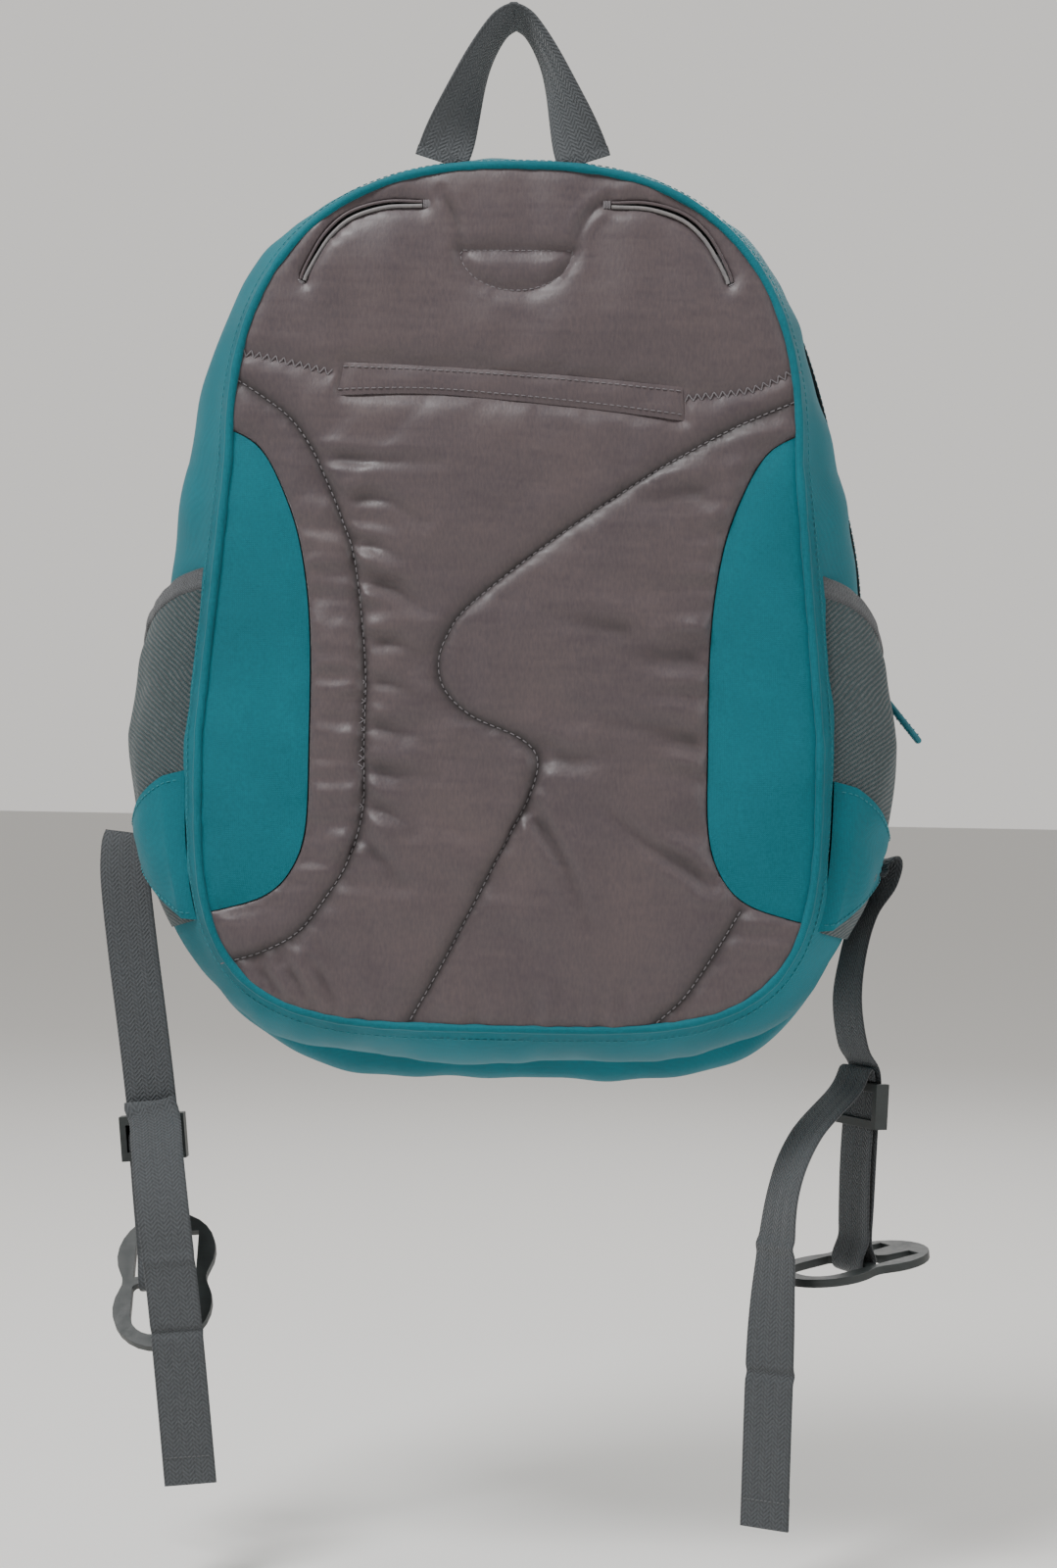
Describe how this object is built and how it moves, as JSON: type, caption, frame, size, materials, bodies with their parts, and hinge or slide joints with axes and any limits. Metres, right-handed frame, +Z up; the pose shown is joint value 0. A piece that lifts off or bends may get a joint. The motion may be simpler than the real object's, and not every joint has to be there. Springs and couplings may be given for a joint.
{
  "type": "daypack",
  "caption": "Hanging daypack with a quilted back panel, zip-open front, mesh side pockets, haul loop and lower straps with ladder adjusters and hook plates.",
  "frame": {"origin": "underside of the haul loop at its top, where a hook carries the pack", "axes": "+Z up along the hanging pack, +X to the right seen from the wearer's side, +Y from the back panel to the front pocket"},
  "size_m": [0.4074, 0.1472, 0.7091],
  "materials": {
    "quilted_panel": "satin polyester, quilted",
    "teal_fabric": "matte woven polyester",
    "webbing": "ribbed webbing",
    "mesh": "diagonal knit mesh",
    "elastic_binding": "knitted elastic",
    "slit_piping": "satin piping",
    "lining": "smooth woven lining",
    "zip_tape": "woven tape with nylon coil",
    "zip_metal": "dark enamel",
    "puller": "moulded soft plastic",
    "hardware": "moulded acetal"
  },
  "bodies": {
    "pack_body": {"back_panel_pad": "quilted_panel", "side_insert_left": "teal_fabric", "side_insert_right": "teal_fabric", "slit_piping_left": "slit_piping", "slit_piping_right": "slit_piping", "stow_slot_welt": "quilted_panel", "anchor_patch": "quilted_panel", "rear_gusset": "teal_fabric", "inner_back_wall": "lining", "lower_front_gusset": "teal_fabric", "lower_front_wall": "teal_fabric", "zip_tape_rear": "zip_tape", "pocket_gusset": "teal_fabric", "pocket_face": "teal_fabric", "pocket_zip_rear": "zip_tape", "pocket_zip_front": "zip_tape", "side_pocket_left": "mesh", "side_pocket_right": "mesh", "pocket_binding_left": "elastic_binding", "pocket_binding_right": "elastic_binding", "strap_wing_left": "teal_fabric", "strap_wing_right": "teal_fabric", "shoulder_strap_left": "lining", "shoulder_strap_right": "lining", "shoulder_loop_left": "webbing", "shoulder_loop_right": "webbing"},
    "front_flap": {"flap_panel": "teal_fabric", "flap_gusset": "teal_fabric", "zip_tape_front": "zip_tape"},
    "main_zip_slider": {"main_zip_slider": "zip_metal"},
    "main_zip_puller": {"main_zip_puller": "puller"},
    "pocket_zip_slider": {"pocket_zip_slider": "zip_metal"},
    "pocket_zip_puller": {"pocket_zip_puller": "puller"},
    "haul_loop": {"haul_loop": "webbing"},
    "strap_left": {"strap_webbing_left": "webbing"},
    "adjuster_left": {"strap_adjuster_left": "hardware"},
    "tail_left": {"strap_tail_left": "webbing"},
    "hook_left": {"hook_plate_left": "hardware"},
    "strap_right": {"strap_webbing_right": "webbing"},
    "adjuster_right": {"strap_adjuster_right": "hardware"},
    "tail_right": {"strap_tail_right": "webbing"},
    "hook_right": {"hook_plate_right": "hardware"}
  },
  "joints": [
    {"name": "flap_open", "type": "hinge", "parent": "pack_body", "child": "front_flap", "pos_m": [0, 0.0846, -0.3112], "axis": [-1, 0, 0], "range_deg": [0, 90]},
    {"name": "main_zip_slide", "type": "slide", "parent": "pack_body", "child": "main_zip_slider", "axis": [-0.0912, 0, 0.9958], "range_m": [0, 0.07]},
    {"name": "main_puller_swing", "type": "hinge", "parent": "main_zip_slider", "child": "main_zip_puller", "pos_m": [0.17752, 0.06, -0.30909], "axis": [0, -1, 0], "range_deg": [-38, 110]},
    {"name": "pocket_zip_slide", "type": "slide", "parent": "pack_body", "child": "pocket_zip_slider", "axis": [-1, 0, 0], "range_m": [0, 0.28]},
    {"name": "pocket_puller_lift", "type": "hinge", "parent": "pocket_zip_slider", "child": "pocket_zip_puller", "pos_m": [0.146, 0.1015, -0.3447], "axis": [1, 0, 0], "range_deg": [0, 100]},
    {"name": "haul_loop_swing", "type": "hinge", "parent": "pack_body", "child": "haul_loop", "pos_m": [0, -0.0032, -0.0642], "axis": [1, 0, 0], "range_deg": [-60, 110], "stiffness_Nm_per_rad": 0.02},
    {"name": "strap_left_swing", "type": "hinge", "parent": "pack_body", "child": "strap_left", "pos_m": [-0.1885, 0.0545, -0.3815], "axis": [-1, 0, 0], "range_deg": [-58, 12]},
    {"name": "adjuster_left_slide", "type": "slide", "parent": "strap_left", "child": "adjuster_left", "axis": [0.095, 0, -0.9955], "range_m": [-0.05, 0.035]},
    {"name": "tail_left_swing", "type": "hinge", "parent": "adjuster_left", "child": "tail_left", "pos_m": [-0.17568, 0.0515, -0.51589], "axis": [-0.9955, 0, -0.095], "range_deg": [0, 60]},
    {"name": "hook_left_turn", "type": "hinge", "parent": "strap_left", "child": "hook_left", "pos_m": [-0.16741, 0.0545, -0.6025], "axis": [-0.9955, 0, -0.095], "range_deg": [-8, 55]},
    {"name": "strap_right_swing", "type": "hinge", "parent": "pack_body", "child": "strap_right", "pos_m": [0.176, 0.058, -0.396], "axis": [-1, 0, 0], "range_deg": [-20, 45]},
    {"name": "adjuster_right_slide", "type": "slide", "parent": "strap_right", "child": "adjuster_right", "axis": [-0.036, 0, -0.9994], "range_m": [-0.045, 0.03]},
    {"name": "tail_right_swing", "type": "hinge", "parent": "adjuster_right", "child": "tail_right", "pos_m": [0.17003, 0.05637, -0.49185], "axis": [-0.5445, 0.8385, 0.0196], "range_deg": [0, 45]},
    {"name": "hook_right_turn", "type": "hinge", "parent": "strap_right", "child": "hook_right", "pos_m": [0.16916, 0.058, -0.58588], "axis": [-0.5445, 0.8385, 0.0196], "range_deg": [-40, 20]}
  ]
}
